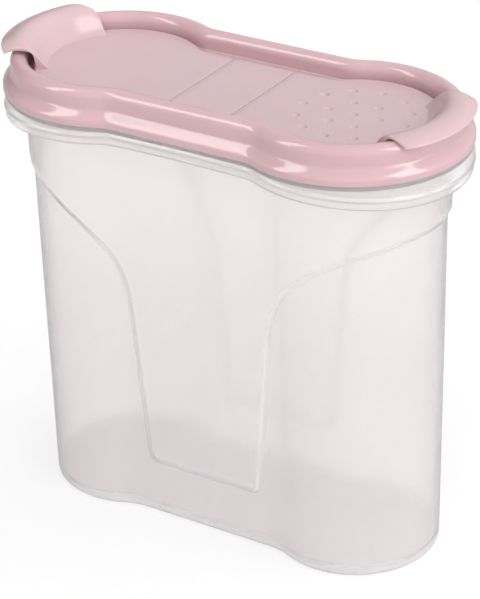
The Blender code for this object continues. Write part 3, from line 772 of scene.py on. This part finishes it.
def flap_outline(side, inset):
    """Outline of a flap: a straight part from the hinge, then most of a disc, with a small round between."""
    radius, half = FLAP_RADIUS - inset, INSERT_HALF - inset
    start = HINGE_X + HINGE_HALF_GAP + inset
    blend = NECK_ROUND + inset
    neck_y = half + blend
    neck_x = -math.sqrt((radius + blend) ** 2 - neck_y ** 2)
    contact = math.degrees(math.atan2(neck_y, neck_x))
    upper = arc((0, 0), radius, 0, contact, 60)
    upper += arc((neck_x, neck_y), blend, contact - 180, -90, 6)[1:]
    upper = [(LOBE_OFFSET + x, y) for x, y in upper]
    upper += arc((start + CORNER_ROUND, half - CORNER_ROUND), CORNER_ROUND, 90, 180, 5)
    outline = upper + [(x, -y) for x, y in upper[:0:-1]]
    return [(side * x, y) for x, y in outline]


def tab_section(under_top, share):
    """The finger tab's section from its foot over the crest to the outer edge and back underneath.

    Towards its two ends the tab gets thinner, and the one that stands high over the ring also gets lower.
    """
    end = np.clip((abs(share) - (1 - TAB_TAPER)) / TAB_TAPER, 0, 1) ** TAB_TAPER_POWER
    clearance = under_top - BEAD_CENTRE - BEAD_RADIUS
    high = clearance > HIGH_TAB_CLEARANCE
    top = under_top + TAB_THICKNESS - TAB_END_DROP * end
    if high:
        top -= HIGH_TAB_DROPS[0] * TAB_END_DROP * end
        under_top -= HIGH_TAB_DROPS[1] * TAB_END_DROP * end
    sunk = INSERT_TOP - JOIN_DEPTH
    nose = min(TAB_THICKNESS, top - under_top) / 2
    edge = (TAB_OUTER_RADIUS - nose, top - TAB_DROOP)
    middle = ((BEAD_RING + TAB_OUTER_RADIUS) / 2, top)
    path = bezier([(TAB_FOOT_RADIUS, sunk), (TAB_WALL_RADIUS, sunk), (TAB_WALL_RADIUS, top),
                   (BEAD_RING, top)], 40)
    path += bezier([(BEAD_RING, top), middle, edge, edge], 16)[1:]
    tip = (edge[0], edge[1] - nose)
    path += arc(tip, nose, 90, -90, 8)[1:]
    path += bezier([(tip[0], tip[1] - nose), (BEAD_RING + 2.5, under_top), (BEAD_RING + 2, under_top),
                    (BEAD_RING, under_top)], 10)[1:]
    root = (FLAP_RADIUS - TAB_ROOT_INSET, sunk)
    if high:
        back = (TAB_BACK_RADIUS, under_top)
        return path + bezier([(BEAD_RING, under_top), back, back, root], 30)[1:]
    hug = BEAD_RADIUS + clearance
    path += arc((BEAD_RING, BEAD_CENTRE), hug, 90, 180, 15)[1:]
    side = (BEAD_RING - hug, BEAD_CENTRE)
    return path + bezier([side, (side[0], side[1] - 1), (root[0], root[1] + 0.5), root], 15)[1:]


def make_tab(name, side):
    span = TAB_OUTER_RADIUS - TAB_FOOT_RADIUS
    rings = []
    for share in np.linspace(-1, 1, TAB_STEPS):
        draw = 1 - TAB_END_DRAW * abs(share) ** TAB_END_DRAW_POWER
        ring = []
        for radius, height in tab_section(TAB_UNDER[name], share):
            out = max(0.0, (radius - TAB_FOOT_RADIUS) / span)
            angle = share * (TAB_FOOT_ANGLE + (TAB_OUTER_ANGLE - TAB_FOOT_ANGLE) * out)
            drawn = radius - (1 - draw) * out * radius
            ring.append((side * (LOBE_OFFSET + drawn * math.cos(angle)), drawn * math.sin(angle), height))
        rings.append(ring)
    tab = skin("tab", rings)
    bevel(tab, *TAB_BEVEL)
    return tab


def make_flap(name, side, material, extra, dimples=None):
    """A flap with its finger tab, a body joined to its underside and, on one of them, dimples in its top."""
    rings = [[(x, y, height) for x, y in flap_outline(side, inset)] for height, inset in eased_levels()]
    flap = skin(name + "_plate", rings)
    combine(flap, [make_tab(name, side), extra], "UNION")
    if dimples:
        combine(flap, [dimples], "DIFFERENCE")
    dress(flap, material, name, "pink_lid", name)


def make_pour_flap(material):
    """The pouring flap, with the rim that closes the opening."""
    place = [(-POUR_OFFSET, 0)]
    outside = POUR_RADIUS - POUR_GAP
    low = INSERT_BOTTOM - POUR_RIM_LENGTH
    rim = turned("rim", place, [(outside - POUR_RIM_CHAMFER, low), (outside, low + POUR_RIM_CHAMFER),
                                (outside, INSERT_BOTTOM + RIM_JOIN_DEPTH)], POUR_SIDES)
    inside = outside - POUR_RIM_WALL
    bore = turned("bore", place, [(inside, low - CUT_PAST), (inside, INSERT_BOTTOM)], POUR_SIDES)
    combine(rim, [bore], "DIFFERENCE")
    make_flap("pour_flap", -1, material, rim)


def make_shaker_flap(material):
    """The shaking flap, with the pins that close the sifter's holes and a dimple over each pin."""
    pin = SIFTER_HOLE_RADIUS - PIN_GAP
    profile = [(pin * share, INSERT_BOTTOM - depth) for share, depth in PIN_PROFILE]
    pins = turned("pins", sifter_places(), profile + [(pin, INSERT_BOTTOM + RIM_JOIN_DEPTH)], PIN_SIDES)
    ball = (DIMPLE_RADIUS ** 2 + DIMPLE_DEPTH ** 2) / (2 * DIMPLE_DEPTH)
    centre = INSERT_TOP - DIMPLE_DEPTH + ball
    profile = [(ball * math.sin(a), centre - ball * math.cos(a)) for a in np.radians(np.linspace(2, 60, 24))]
    dimples = turned("dimples", sifter_places(), profile, PIN_SIDES)
    make_flap("shaker_flap", 1, material, pins, dimples)


def make_web(name, side, material):
    """The thin living hinge between the bridge and a flap."""
    reach = HINGE_HALF_GAP + WEB_OVERLAP
    low, half = WEB_TOP - WEB_THICKNESS, INSERT_HALF - WEB_INSET
    rings = []
    for k in range(WEB_STEPS + 1):
        x = side * HINGE_X - reach + 2 * reach * k / WEB_STEPS
        rings.append([(x, -half, low), (x, half, low), (x, half, WEB_TOP), (x, -half, WEB_TOP)])
    web = skin(name + "_strip", rings)
    web.data.materials.append(material)
    shade(web.data)
    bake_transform(web)
    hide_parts(name)


make_camera()
make_world()
for name, placing in SOFTBOXES.items():
    make_softbox(name, *placing)
make_floor()

glossy = pink_plastic("pink_gloss_plastic", *GLOSS_PINK)
# The satin material's lighter colour is a painted sheen on the flaps, the bridge and the hinge webs
satin_and_painted_sheen = pink_plastic("pink_satin_plastic_painted_sheen", *SATIN_PINK_AND_PAINTED_SHEEN)
make_container(clear_plastic())
make_lid_frame(glossy)
make_bridge(satin_and_painted_sheen)
make_pour_flap(satin_and_painted_sheen)
make_shaker_flap(satin_and_painted_sheen)
make_web("pour_hinge_web", -1, satin_and_painted_sheen)
make_web("shaker_hinge_web", 1, satin_and_painted_sheen)

bpy.context.scene.view_settings.view_transform = "Standard"
